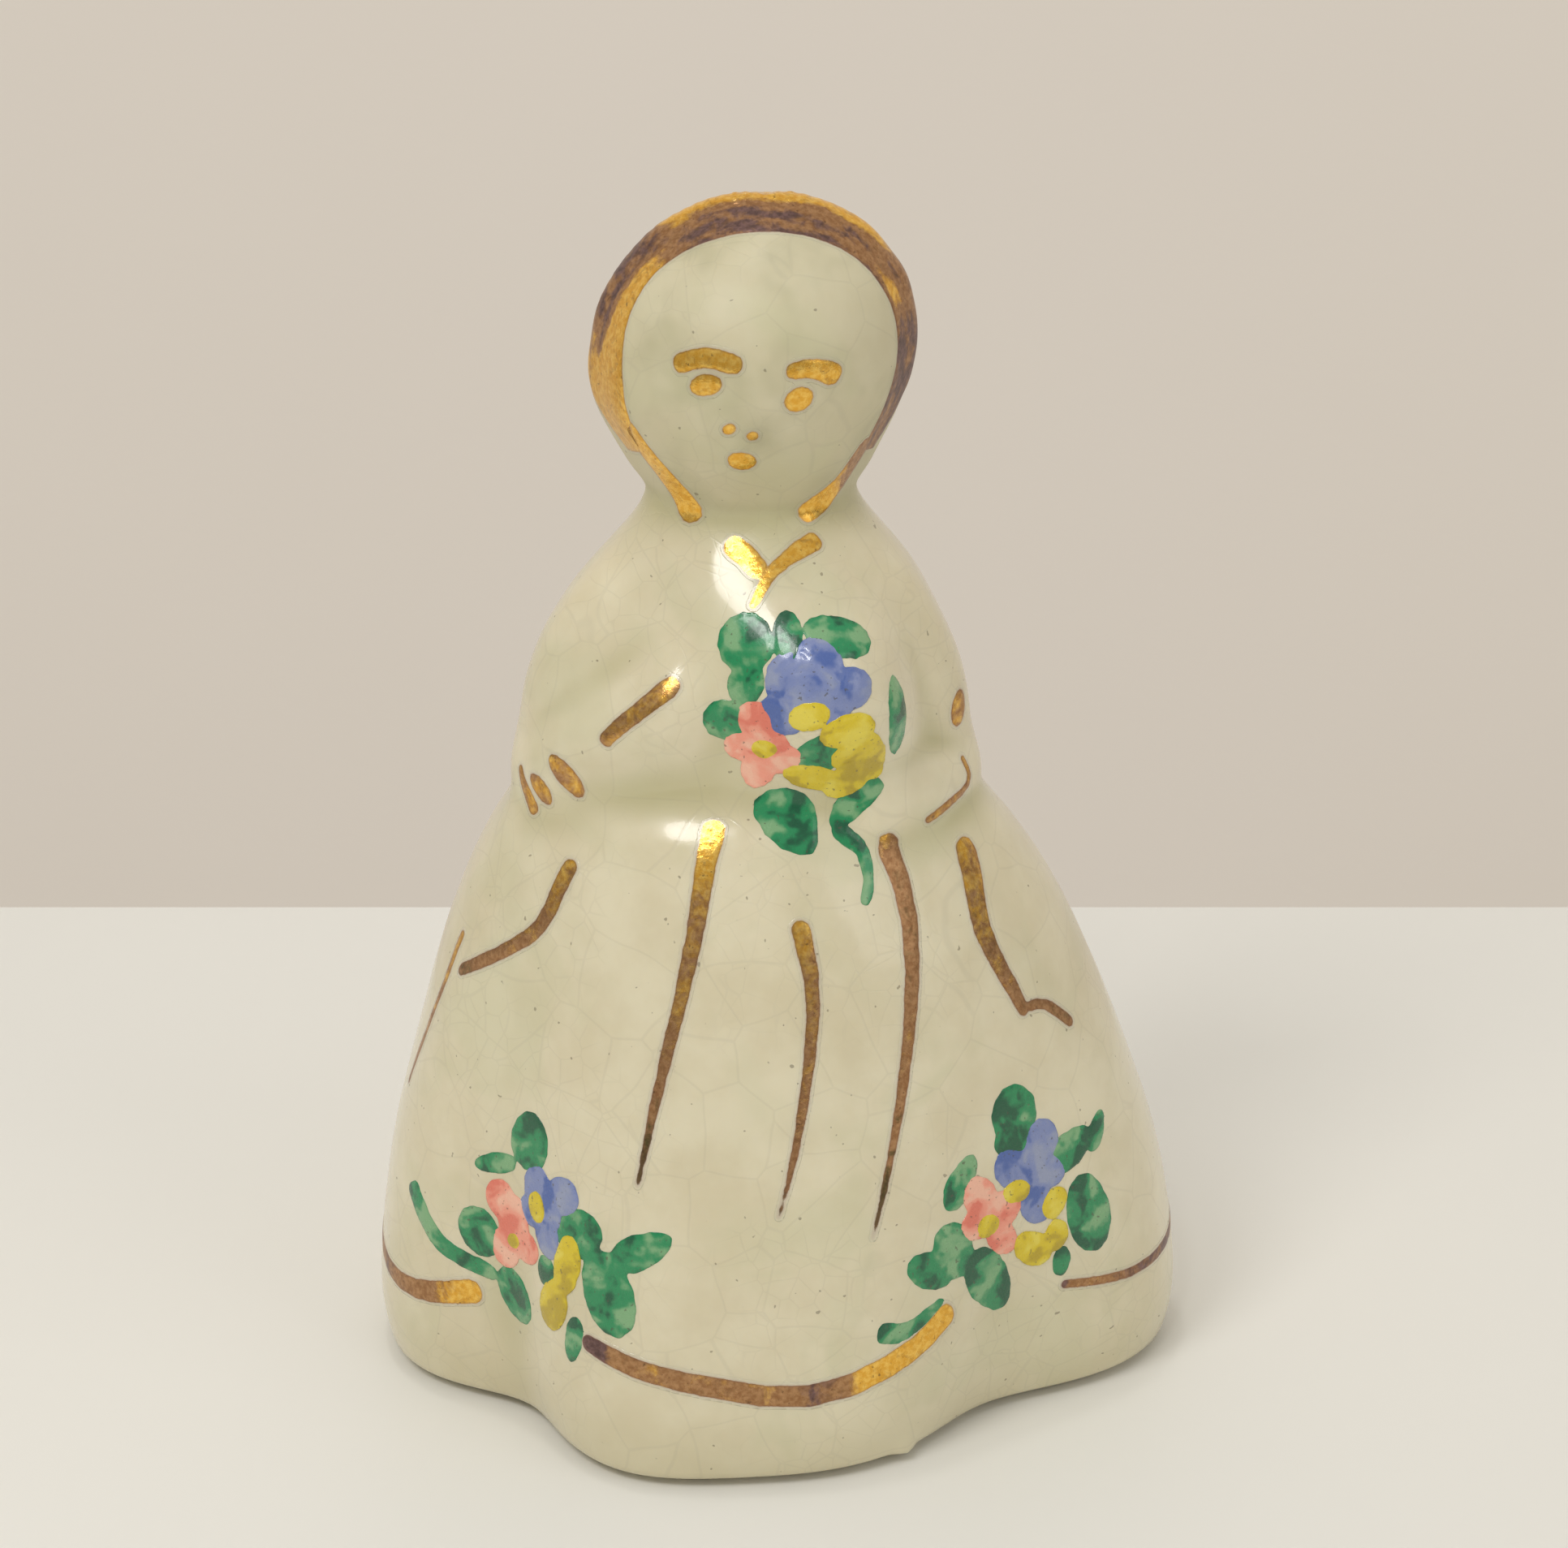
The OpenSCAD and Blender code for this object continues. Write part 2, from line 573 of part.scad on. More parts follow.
module posy_blue() {
    color("cornflowerblue")
        dabs([
            [11, 157, 2.6, 2.2, 60], [18, 160, 2.6, 2.2, 90], [24, 153, 2.6, 2, 10],
            [9, 147, 2.2, 2.2, 180], [20, 150, 2, 2, -20], [14, 152, 2.6, 2.2, 90]
        ], layer = petal_layer);
}

module posy_pink() {
    color("salmon")
        dabs([
            [3, 144, 2.2, 2, 110], [0, 135, 2.2, 1.8, 170], [4, 128, 2.6, 1.8, -100],
            [9, 132, 2, 2, -30], [5, 137, 2.4, 2.2, 10]
        ], layer = petal_layer);
}

module posy_yellow() {
    color("gold") {
        dabs([
            [24, 142, 2.6, 1.8, 10], [30, 132, 4, 1.8, -70], [26, 123, 2.8, 2.2, -130],
            [17, 125, 3, 1.6, 160], [25, 133, 2, 1.8, 90]
        ], layer = petal_layer);
        dabs([[15, 147, 1.8, 1.4, 20], [5, 135, 1.4, 1.4, 0]], layer = heart_layer);
    }
}

module left_leaves() {
    color("mediumseagreen") {
        dabs([[-43, 52, 3.4, 2.8, 80], [-54, 33, 3, 2.8, 140], [-46, 24, 3.4, 2.4, -60]]);
        dabs([[-51, 46, 3.2, 1, 200], [-19, 41, 3.8, 1.8, 30], [-30, 23, 2.8, 1.2, -100]], tip = 0.2);
        dabs([[-30, 41, 3.4, 2.6, 30], [-24, 33, 5, 3.2, -70], [-37, 32, 1.8, 1.4, 90]]);
        brush([[-70, 36], [-67, 33], [-61, 28], [-51, 26]], [0.8, 0.6]);
    }
}

module left_blue() {
    color("cornflowerblue")
        dabs([
            [-40, 45, 2.6, 2.2, 110], [-34, 46, 2.4, 2, 20], [-37, 38, 2.4, 1.8, -70],
            [-41, 41, 2.2, 1.8, 20], [-37, 42, 2, 1.8, 0]
        ], layer = petal_layer);
}

module left_pink() {
    color("salmon")
        dabs([
            [-49, 40, 2.4, 2.2, 130], [-46, 37, 3.4, 2.4, 90],
            [-48, 32, 2.4, 2, -100], [-43, 34, 2.4, 1.8, 0]
        ], layer = petal_layer);
}

module left_yellow() {
    color("gold") {
        dabs([[-32, 35, 3.6, 1.8, 80], [-35, 27, 3.2, 2.2, -110]], layer = petal_layer);
        dabs([[-40, 42, 1.6, 1.2, 100], [-46, 34, 1, 0.8, 20]], layer = heart_layer);
    }
}

module right_leaves() {
    color("mediumseagreen") {
        dabs([[47, 55, 3.4, 3, 80], [46, 51, 2.6, 2, 180], [60, 34, 5, 3, -80]]);
        dabs([[30, 36, 3.6, 2.6, 110], [25, 34, 3.4, 2, 150], [54, 27, 1.8, 1, 90]]);
        dabs([
            [33, 47, 3.4, 1.6, 50], [58, 46, 3.6, 2, 20],
            [65, 47, 2.6, 1, 50], [38, 28, 5, 2.6, -60]
        ], tip = 0.2);
        brush([[15, 26], [20, 25], [27, 28]], [0.9, 0.4], steps = 8);
    }
}

module right_blue() {
    color("cornflowerblue")
        dabs([
            [45, 46, 2.8, 2.2, 130], [52, 49, 2.6, 2.2, 60], [52, 44, 2.6, 2, -30],
            [49, 39, 2.6, 2, -70], [48, 43, 2.6, 2.2, -20]
        ], layer = petal_layer);
}

module right_pink() {
    color("salmon")
        dabs([
            [37, 43, 3, 2, 120], [42, 40, 2.4, 2, 10], [36, 39, 2.4, 1.8, 180],
            [41, 35, 2.6, 1.6, -50], [39, 39, 3, 2.2, -20]
        ], layer = petal_layer);
}

module right_yellow() {
    color("gold") {
        dabs([
            [53, 38, 1.8, 1.4, 50], [48, 31, 2.8, 1.8, -40], [53, 32, 1.8, 1.4, 80]
        ], layer = petal_layer);
        dabs([[45, 42, 1.8, 1.2, 0], [38, 38, 1.6, 1.3, 0]], layer = heart_layer);
    }
}

bell_body();
cement_plug();
staple();
hanger_ring();
clapper_shank();
clapper_stop();
clapper_ball();
gold_hair_band();
gold_bonnet_ties();
gold_face();
gold_collar();
gold_sleeves();
gold_skirt_folds();
gold_drapes();
gold_hem_swags();
posy_leaves();
posy_blue();
posy_pink();
posy_yellow();
left_leaves();
left_blue();
left_pink();
left_yellow();
right_leaves();
right_blue();
right_pink();
right_yellow();
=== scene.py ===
"""Looks of the porcelain lady bell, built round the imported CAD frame.

The glazed body is the CAD body smoothed and given the small unevenness of a hand-finished cast.
Each gold line and enamel dab is a thin coat cut from that same skin, along the outline of its CAD node.
"""

import math

import bmesh
import bpy
import numpy as np
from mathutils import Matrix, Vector, noise
from mathutils.bvhtree import BVHTree
from mathutils.kdtree import KDTree


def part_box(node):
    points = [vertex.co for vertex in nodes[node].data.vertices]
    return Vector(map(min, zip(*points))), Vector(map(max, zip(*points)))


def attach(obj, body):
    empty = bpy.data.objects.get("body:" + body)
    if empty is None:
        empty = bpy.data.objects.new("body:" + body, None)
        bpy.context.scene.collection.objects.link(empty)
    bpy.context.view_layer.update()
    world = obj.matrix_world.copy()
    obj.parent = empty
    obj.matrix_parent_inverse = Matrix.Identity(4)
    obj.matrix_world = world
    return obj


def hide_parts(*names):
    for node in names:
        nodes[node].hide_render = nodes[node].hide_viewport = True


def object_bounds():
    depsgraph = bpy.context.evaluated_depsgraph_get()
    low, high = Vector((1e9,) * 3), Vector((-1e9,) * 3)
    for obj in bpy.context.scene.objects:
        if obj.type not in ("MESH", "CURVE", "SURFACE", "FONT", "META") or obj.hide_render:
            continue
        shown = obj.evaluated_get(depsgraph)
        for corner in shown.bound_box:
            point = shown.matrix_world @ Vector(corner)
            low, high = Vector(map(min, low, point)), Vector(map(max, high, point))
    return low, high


MM = 0.001
WELD = 0.0005 * MM  # corners nearer than this are one corner

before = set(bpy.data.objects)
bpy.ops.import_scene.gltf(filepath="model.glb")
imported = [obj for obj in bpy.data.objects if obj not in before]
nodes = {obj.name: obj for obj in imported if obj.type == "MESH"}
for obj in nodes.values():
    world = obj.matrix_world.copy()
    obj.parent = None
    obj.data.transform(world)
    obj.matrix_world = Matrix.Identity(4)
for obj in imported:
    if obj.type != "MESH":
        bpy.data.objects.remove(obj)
cad_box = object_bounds()


# ---- Mesh tools ----
def points_of(mesh):
    flat = np.zeros(len(mesh.vertices) * 3)
    mesh.vertices.foreach_get("co", flat)
    return flat.reshape(-1, 3)


def normals_of(mesh):
    flat = np.zeros(len(mesh.vertices) * 3)
    mesh.vertex_normals.foreach_get("vector", flat)
    return flat.reshape(-1, 3)


def edges_of(mesh):
    flat = np.zeros(len(mesh.edges) * 2, int)
    mesh.edges.foreach_get("vertices", flat)
    return flat.reshape(-1, 2)


def triangles_of(mesh):
    mesh.calc_loop_triangles()
    flat = np.zeros(len(mesh.loop_triangles) * 3, int)
    mesh.loop_triangles.foreach_get("vertices", flat)
    return flat.reshape(-1, 3)


def move_points(mesh, points):
    mesh.vertices.foreach_set("co", points.ravel())
    mesh.update()


def spread(values, edges, rounds):
    """Values at the points of a mesh, each averaged with its neighbours the given number of times."""
    count = np.bincount(edges.ravel(), minlength=len(values)).astype(float)
    count = np.maximum(count, 1)
    shape = values.shape
    values = values.reshape(len(values), -1).copy()
    for _ in range(rounds):
        total = np.zeros_like(values)
        np.add.at(total, edges[:, 0], values[edges[:, 1]])
        np.add.at(total, edges[:, 1], values[edges[:, 0]])
        values = (values + total / count[:, None]) / 2
    return values.reshape(shape)


def set_attribute(mesh, name, values):
    attribute = mesh.attributes.new(name, "FLOAT", "POINT")
    attribute.data.foreach_set("value", np.asarray(values, np.float32))


def welded(node):
    """The mesh of a CAD node with the copies of each corner joined."""
    bm = bmesh.new()
    bm.from_mesh(nodes[node].data)
    bmesh.ops.remove_doubles(bm, verts=bm.verts, dist=WELD)
    return bm


def refined(mesh, levels):
    """A smooth subdivision of the mesh."""
    obj = bpy.data.objects.new("refining", mesh)
    bpy.context.scene.collection.objects.link(obj)
    modifier = obj.modifiers.new("refine", "SUBSURF")
    modifier.levels = levels
    modifier.render_levels = levels
    graph = bpy.context.evaluated_depsgraph_get()
    made = bpy.data.meshes.new_from_object(obj.evaluated_get(graph))
    bpy.data.objects.remove(obj)
    return made


def step(low, high, x):
    """A smooth rise from 0 to 1 while x goes from low to high."""
    s = np.clip((x - low) / (high - low), 0, 1)
    return s * s * (3 - 2 * s)


def noise_at(points, size, seed):
    """Smooth noise from -1 to 1 at each point. size is the width of its features."""
    shift = Vector((seed, 2.0 * seed, -seed))
    return np.array([noise.noise(Vector(p) / size + shift) for p in points])


def show(name, mesh, body, material, stands_for):
    """Put a smooth piece in the scene, on its body, in place of a CAD node."""
    obj = bpy.data.objects.new(name, mesh)
    bpy.context.scene.collection.objects.link(obj)
    mesh.materials.clear()
    mesh.materials.append(material)
    mesh.shade_smooth()
    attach(obj, body)
    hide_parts(stands_for)
    return obj


# ---- Places on the figure, from the frame ----
hem_z = cad_box[0].z
crown_z = cad_box[1].z
AXIS_Y = 1.5 * MM
HEAD_H = 18 * MM
HEAD_X = -1.5 * MM
head_centre = Vector((HEAD_X, AXIS_Y, crown_z - 0.5 * HEAD_H))


# ---- The glazed skin ----
CAGE_LEVELS = 2
RIM_CREASE = 0.6  # sharpness of the foot's lowest edge, from 0 to 1
FOOT_H = 1.0 * MM  # over this height the foot is drawn in
FOOT_INSET = 0.5 * MM
SWELL, RIPPLE = 0.05 * MM, 0.02 * MM  # broad and fine unevenness of the cast
NOSE_H = 0.35 * MM
BEAD_H, RIB_H, KNOCK_H = 0.12 * MM, 0.06 * MM, 0.10 * MM  # the brim's bead, its ribs and its knocks
DRIP_H = 0.45 * MM
HOLLOW_ROUNDS = 60  # how often the skin is averaged to find its hollows


def figure_cage():
    """The CAD body as quads, with its foot rim kept crisp."""
    bm = welded("bell_body")
    bmesh.ops.join_triangles(
        bm, faces=bm.faces, angle_face_threshold=math.pi, angle_shape_threshold=math.pi
    )
    crease = bm.edges.layers.float.new("crease_edge")
    for edge in bm.edges:
        if all(v.co.z < hem_z + 0.01 * MM for v in edge.verts):
            edge[crease] = RIM_CREASE
    mesh = bpy.data.meshes.new("cage")
    bm.to_mesh(mesh)
    bm.free()
    return mesh


def figure_skin():
    """The cage made smooth and a little uneven, with a measure of how hollow it is at each point."""
    mesh = refined(figure_cage(), CAGE_LEVELS)
    points, normals = points_of(mesh), normals_of(mesh)
    above_hem = step(1 * MM, 4 * MM, points[:, 2] - hem_z)
    uneven = SWELL * noise_at(points, 7 * MM, 3.1) + RIPPLE * noise_at(points, 2.5 * MM, 8.7)
    push = uneven * above_hem
    push += nose_relief(points)
    push += brim_bead(points)
    push += hem_drip(points)
    out = (points - np.array((0, AXIS_Y, 0))) * normals * np.array((1, 1, 0))
    push -= FOOT_INSET * step(FOOT_H, 0.0, points[:, 2] - hem_z) * (out.sum(1) > 0)
    points = points + normals * push[:, None]
    points[:, 2] = np.maximum(points[:, 2], hem_z)
    move_points(mesh, points)
    edges = edges_of(mesh)
    points, normals = points_of(mesh), normals_of(mesh)
    hollow = ((spread(points, edges, HOLLOW_ROUNDS) - points) * normals).sum(1)
    set_attribute(mesh, "hollow", hollow / MM)
    return mesh


def nose_relief(points):
    """A faint nose, pressed from a worn mould."""
    across = (points[:, 0] - head_centre.x) / (1.3 * MM)
    up = (points[:, 2] - head_centre.z + 1.6 * MM) / (1.9 * MM)
    front = points[:, 1] < head_centre.y
    return NOSE_H * np.exp(-(across**2) - up**2) * front


def brim_bead(points):
    """The bonnet's brim ends in a narrow bead, pinched into ribs near the top."""
    clock = np.arctan2(points[:, 0] - head_centre.x, points[:, 2] - head_centre.z)
    on_crest = np.exp(-(((points[:, 1] - head_centre.y - 0.3 * MM) / (0.9 * MM)) ** 2))
    above_chin = step(head_centre.z - 7 * MM, head_centre.z - 3 * MM, points[:, 2])
    near_top = step(1.3, 0.5, np.abs(clock + 0.25))
    ribs = RIB_H * np.sin(clock * 80 + 1.5 * np.sin(clock * 9)) * near_top
    knocks = KNOCK_H * noise_at(points, 2.2 * MM, 12.5)
    return (BEAD_H + ribs + knocks) * on_crest * above_chin


def hem_drip(points):
    """A drop of glaze that ran down and set on the front of the hem."""
    across = (points[:, 0] - 7.6 * MM) / (0.55 * MM)
    up = (points[:, 2] - hem_z - 0.9 * MM) / (0.6 * MM)
    front = points[:, 1] < 0
    return DRIP_H * np.exp(-(across**2) - up**2) * front


# ---- Coats of gold and enamel ----
REACH = 1.1 * MM  # how far from a CAD node the skin is kept for its coat
COAT_LEVELS = 2
SINK = 0.06 * MM  # how far a coat's underside lies below the skin
EDGE_W = 0.35 * MM  # how far inside its outline a coat reaches its full thickness
SIDE_COSINE = 0.55  # a CAD face that leans further than this from the skin is a side wall
PROBE_ABOVE, PROBE_LENGTH = 0.6 * MM, 0.9 * MM  # the ray that looks for the CAD node under a point


def region_near(skin, node, reach):
    """The faces of the skin within reach of a CAD node, as a mesh of their own."""
    solid = BVHTree.FromBMesh(welded(node))
    low, high = (np.array(c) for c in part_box(node))
    points = points_of(skin)
    inside = ((points > low - reach) & (points < high + reach)).all(1)
    near = np.zeros(len(points), bool)
    for i in np.flatnonzero(inside):
        near[i] = solid.find_nearest(points[i], reach)[0] is not None
    bm = bmesh.new()
    bm.from_mesh(skin)
    far = [f for f in bm.faces if not any(near[v.index] for v in f.verts)]
    bmesh.ops.delete(bm, geom=far, context="FACES")
    mesh = bpy.data.meshes.new("region")
    bm.to_mesh(mesh)
    bm.free()
    return mesh


def outline_depth(points, normals, node):
    """How far each point lies inside the outline of a CAD node, along the skin. Outside it is negative."""
    bm = welded(node)
    bm.normal_update()
    solid = BVHTree.FromBMesh(bm)
    corners, walls = [v.co.copy() for v in bm.verts], []
    lookup = kd_of(points)
    for face in bm.faces:
        _, nearest, _ = lookup.find(face.calc_center_median())
        if abs(face.normal @ Vector(normals[nearest])) < SIDE_COSINE:
            walls.append([v.index for v in face.verts])
    wall_tree = BVHTree.FromPolygons(corners, walls)
    bm.free()
    depth = np.zeros(len(points))
    for i, (p, n) in enumerate(zip(points, normals)):
        p, n = Vector(p), Vector(n)
        hit = solid.ray_cast(p + n * PROBE_ABOVE, -n, PROBE_LENGTH)[0]
        edge = wall_tree.find_nearest(p)[0]
        gap = p - edge
        gap -= n * (gap @ n)
        depth[i] = gap.length if hit is not None else -gap.length
    return depth


def kd_of(points):
    """A search tree that finds the nearest of these points."""
    tree = KDTree(len(points))
    for i, p in enumerate(points):
        tree.insert(p, i)
    tree.balance()
    return tree


def clipped(points, triangles, level):
    """The part of a triangle mesh where level is above 0. Returns points, triangles and, for each
    new point, the two old points it lies between and its share of the way."""
    keep = np.flatnonzero(level > 0)
    number = {int(k): i for i, k in enumerate(keep)}
    parents = [(int(k), int(k), 0.0) for k in keep]
    made = {}

    def crossing(a, b):
        key = (min(a, b), max(a, b))
        if key not in made:
            low, high = key
            made[key] = len(parents)
            parents.append((low, high, float(level[low] / (level[low] - level[high]))))
        return made[key]

    faces = []
    for t in triangles[(level[triangles] > 0).any(1)]:
        loop = []
        for a, b in ((t[0], t[1]), (t[1], t[2]), (t[2], t[0])):
            a, b = int(a), int(b)
            if level[a] > 0:
                loop.append(number[a])
            if (level[a] > 0) != (level[b] > 0):
                loop.append(crossing(a, b))
        faces.extend([loop[0], loop[i], loop[i + 1]] for i in range(1, len(loop) - 1))
    return parents, np.array(faces, int)


def closed_coat(points, normals, faces, lift, sink):
    """A thin closed shell whose top lies lift above the skin and whose underside lies sink below it."""
    count = len(points)
    top = points + normals * lift[:, None]
    under = points - normals * sink
    seen = {}
    for f in faces:
        for a, b in ((f[0], f[1]), (f[1], f[2]), (f[2], f[0])):
            seen[(a, b)] = True
    rim = [(a, b) for a, b in seen if (b, a) not in seen]
    walls = [quad for a, b in rim for quad in ((b, a, a + count), (b, a + count, b + count))]
    every = np.concatenate([faces, faces[:, ::-1] + count, np.array(walls, int).reshape(-1, 3)])
    mesh = bpy.data.meshes.new("coat")
    mesh.from_pydata(np.concatenate([top, under]).tolist(), [], every.tolist())
    mesh.update()
    return mesh


def even_tone(value):
    """The same tone all over a coat."""
    return lambda points: np.full(len(points), value)


def coat(skin, node, slot, material, layer, thick, margin, ragged, grow, tone):
    """A thin coat over the skin, with the outline of a CAD node grown a little and its edge ragged.

    The coat lies layer above the skin at its edge and layer + thick inside. margin is a fringe
    beyond the outline, which the gold shader paints as glaze."""
    patch = refined(region_near(skin, node, REACH), COAT_LEVELS)
    points, normals = points_of(patch), normals_of(patch)
    edges, triangles = edges_of(patch), triangles_of(patch)
    depth = spread(outline_depth(points, normals, node), edges, 4) + grow
    depth += ragged * noise_at(points, 0.9 * MM, 5.3) + 0.4 * ragged * noise_at(points, 0.3 * MM, 1.9)
    parents, faces = clipped(points, triangles, depth + margin)
    a, b = (np.array([p[k] for p in parents], int) for k in (0, 1))
    s = np.array([p[2] for p in parents])

    def carried(values):
        share = s.reshape((-1,) + (1,) * (values.ndim - 1))
        return values[a] * (1 - share) + values[b] * share

    depth, points, normals = carried(depth), carried(points), carried(normals)
    hollow = np.zeros(len(patch.vertices))
    patch.attributes["hollow"].data.foreach_get("value", hollow)
    hollow = carried(hollow)
    lift = layer + thick * step(-0.5 * margin, EDGE_W, depth)
    mesh = closed_coat(points, normals, faces, lift, SINK)
    for name, values in {"depth": depth / MM, "hollow": hollow, "tone": tone(points)}.items():
        set_attribute(mesh, name, np.concatenate([values, values]))
    return show(node + "_coat", mesh, "bell", material, node)


# ---- Shader tools ----
class Shader:
    """A small writer for node materials."""

    def __init__(self, name):
        self.material = bpy.data.materials.new(name)
        self.material.use_nodes = True
        self.tree = self.material.node_tree
        self.tree.nodes.clear()
        self.place = self.add("ShaderNodeTexCoord").outputs["Object"]

    def add(self, kind, inputs=None, **settings):
        node = self.tree.nodes.new(kind)
        for key, value in settings.items():
            setattr(node, key, value)
        for key, value in (inputs or {}).items():
            self.feed(node.inputs[key], value)
        return node

    def feed(self, socket, value):
        if isinstance(value, bpy.types.NodeSocket):
            self.tree.links.new(value, socket)
        else:
            socket.default_value = value

    def noise(self, size, detail=3, rough=0.5, distort=0.0, place=None):
        """Noise from about 0 to 1 with features of the given size in metres."""
        node = self.add(
            "ShaderNodeTexNoise",
            {"Vector": place or self.place, "Scale": 1 / size, "Detail": detail,
             "Roughness": rough, "Distortion": distort},
        )
        return node.outputs["Fac"]

    def remap(self, value, low, high, to_low=0.0, to_high=1.0):
        node = self.add(
            "ShaderNodeMapRange",
            {"Value": value, "From Min": low, "From Max": high, "To Min": to_low, "To Max": to_high},
            interpolation_type="SMOOTHSTEP",
        )
        return node.outputs["Result"]

    def math(self, kind, a, b=0.0):
        return self.add("ShaderNodeMath", {0: a, 1: b}, operation=kind).outputs[0]

    def blend(self, share, a, b):
        node = self.add("ShaderNodeMix", data_type="RGBA")
        self.feed(node.inputs["Factor"], share)
        self.feed(node.inputs[6], a)
        self.feed(node.inputs[7], b)
        return node.outputs[2]

    def veil(self, colour, mask, strength, over):
        """The colour, covered with another one by up to strength where the mask is 1."""
        return self.blend(self.math("MULTIPLY", mask, strength), colour, over)

    def attribute(self, name):
        return self.add("ShaderNodeAttribute", attribute_name=name).outputs["Fac"]

    def bump(self, height, distance, strength=1.0, normal=None):
        inputs = {"Height": height, "Distance": distance, "Strength": strength}
        if normal is not None:
            inputs["Normal"] = normal
        return self.add("ShaderNodeBump", inputs).outputs["Normal"]

    def cells(self, size, warp):
        """Distance to the nearest cell border, in cell widths."""
        shifted = self.add(
            "ShaderNodeTexNoise", {"Vector": self.place, "Scale": 1 / (2.2 * size), "Detail": 2.0}
        ).outputs["Color"]
        offset = self.add(
            "ShaderNodeVectorMath", {0: shifted, 1: (0.5, 0.5, 0.5)}, operation="SUBTRACT"
        ).outputs[0]
        offset = self.add("ShaderNodeVectorMath", {0: offset}, operation="SCALE")
        self.feed(offset.inputs["Scale"], warp)
        place = self.add("ShaderNodeVectorMath", {0: self.place, 1: offset.outputs[0]}).outputs[0]
        return self.add(
            "ShaderNodeTexVoronoi", {"Vector": place, "Scale": 1 / size}, feature="DISTANCE_TO_EDGE"
        ).outputs["Distance"]

    def surface(self, inputs):
        return self.add("ShaderNodeBsdfPrincipled", inputs).outputs[0]

    def either(self, share, a, b):
        """Surface a where share is 0 and surface b where it is 1."""
        node = self.add("ShaderNodeMixShader", {0: share})
        self.feed(node.inputs[1], a)
        self.feed(node.inputs[2], b)
        return node.outputs[0]

    def finish(self, shader):
        output = self.add("ShaderNodeOutputMaterial")
        self.tree.links.new(shader, output.inputs["Surface"])
        return self.material


# ---- Materials ----
CREAM, PALE_CREAM = (0.73, 0.65, 0.44, 1), (0.81, 0.74, 0.53, 1)
# Glaze pooled in hollows, made darker as painted shade
POOLED_GLAZE_AND_SHADE = (0.50, 0.46, 0.23, 1)
# Greenish face glaze, made darker as painted shade
FACE_GLAZE_AND_SHADE = (0.54, 0.50, 0.315, 1)
GREEN_PATCH = (0.62, 0.60, 0.37, 1)
# Painted shade towards the hem
PAINTED_HEM_SHADE = (0.58, 0.52, 0.31, 1)
CRACK_BROWN = (0.40, 0.36, 0.26, 1)
IRON_SPECK = (0.16, 0.12, 0.07, 1)
# Bare unglazed foot, made darker as painted contact shade
BARE_FOOT_AND_SHADE = (0.27, 0.21, 0.12, 1)


def glaze_shader(sh):
    """Ivory glaze: greenish on the face and where it pools, both made darker as painted shade, darker
    towards the hem as painted shade, finely crazed, with iron specks, and a bare foot made darker as
    painted contact shade.
    """
    hollow = sh.attribute("hollow")
    height = sh.add("ShaderNodeSeparateXYZ", {0: sh.place}).outputs["Z"]
    clouds = sh.noise(6 * MM, 4, 0.6)
    cream = sh.blend(sh.remap(clouds, 0.3, 0.7), CREAM, PALE_CREAM)
    # Pooled glaze and painted shade: the glaze darker and greener in the skin's hollows
    pool_and_shade = sh.remap(sh.math("ADD", hollow, sh.math("MULTIPLY", clouds, 0.12)), 0.02, 0.3)
    tinted = sh.veil(cream, pool_and_shade, 0.8, POOLED_GLAZE_AND_SHADE)
    # Painted shade on the face, over its greenish glaze
    on_face = sh.remap(height, head_centre.z - 0.62 * HEAD_H, head_centre.z - 0.4 * HEAD_H)
    green = sh.remap(sh.noise(7 * MM, 3, 0.55), 0.42, 0.62, 0.4, 0.9)
    tinted = sh.veil(tinted, on_face, green, FACE_GLAZE_AND_SHADE)
    patches = sh.remap(sh.noise(11 * MM, 3, 0.6, 0.5), 0.5, 0.68)
    tinted = sh.veil(tinted, patches, 0.4, GREEN_PATCH)
    # Painted shade: the glaze darker towards the hem
    low = sh.remap(height, 7 * MM, 1 * MM)
    tinted = sh.veil(tinted, low, 0.4, PAINTED_HEM_SHADE)
    coarse, fine = sh.cells(4.5 * MM, 2.2 * MM), sh.cells(1.7 * MM, 0.9 * MM)
    patchy = sh.remap(sh.noise(9 * MM, 2), 0.42, 0.62)
    long_cracks = sh.remap(coarse, 0.022, 0.004)
    fine_cracks = sh.math("MULTIPLY", sh.remap(fine, 0.035, 0.005), patchy)
    crack = sh.math("MAXIMUM", long_cracks, fine_cracks)
    tinted = sh.veil(tinted, crack, 0.11, CRACK_BROWN)
    specks = sh.remap(sh.noise(0.45 * MM, 1, 0.3), 0.775, 0.80)
    tinted = sh.veil(tinted, specks, 0.55, IRON_SPECK)
    # Bare foot at the rim, made darker as painted contact shade
    ragged_height = sh.math("ADD", height, sh.math("MULTIPLY", clouds, 0.3 * MM))
    foot = sh.remap(ragged_height, 0.65 * MM, 0.35 * MM)
    tinted = sh.blend(foot, tinted, BARE_FOOT_AND_SHADE)
    orange_peel = sh.bump(sh.noise(1.6 * MM, 2), 0.02 * MM, 0.6)
    crazed = sh.bump(crack, -0.006 * MM, 0.5, orange_peel)
    rough = sh.remap(sh.noise(3 * MM, 3), 0.3, 0.7, 0.13, 0.24)
    dull = sh.math("MAXIMUM", on_face, foot)
    rough = sh.math("ADD", rough, sh.math("MULTIPLY", dull, 0.24))
    return sh.surface(
        {"Base Color": tinted, "Roughness": rough, "Normal": crazed, "IOR": 1.5,
         "Subsurface Weight": 0.15, "Subsurface Radius": (1.0, 0.8, 0.5), "Subsurface Scale": 0.8 * MM,
         "Coat Weight": sh.remap(dull, 0, 1, 0.4, 0.0), "Coat Roughness": 0.06},
    )


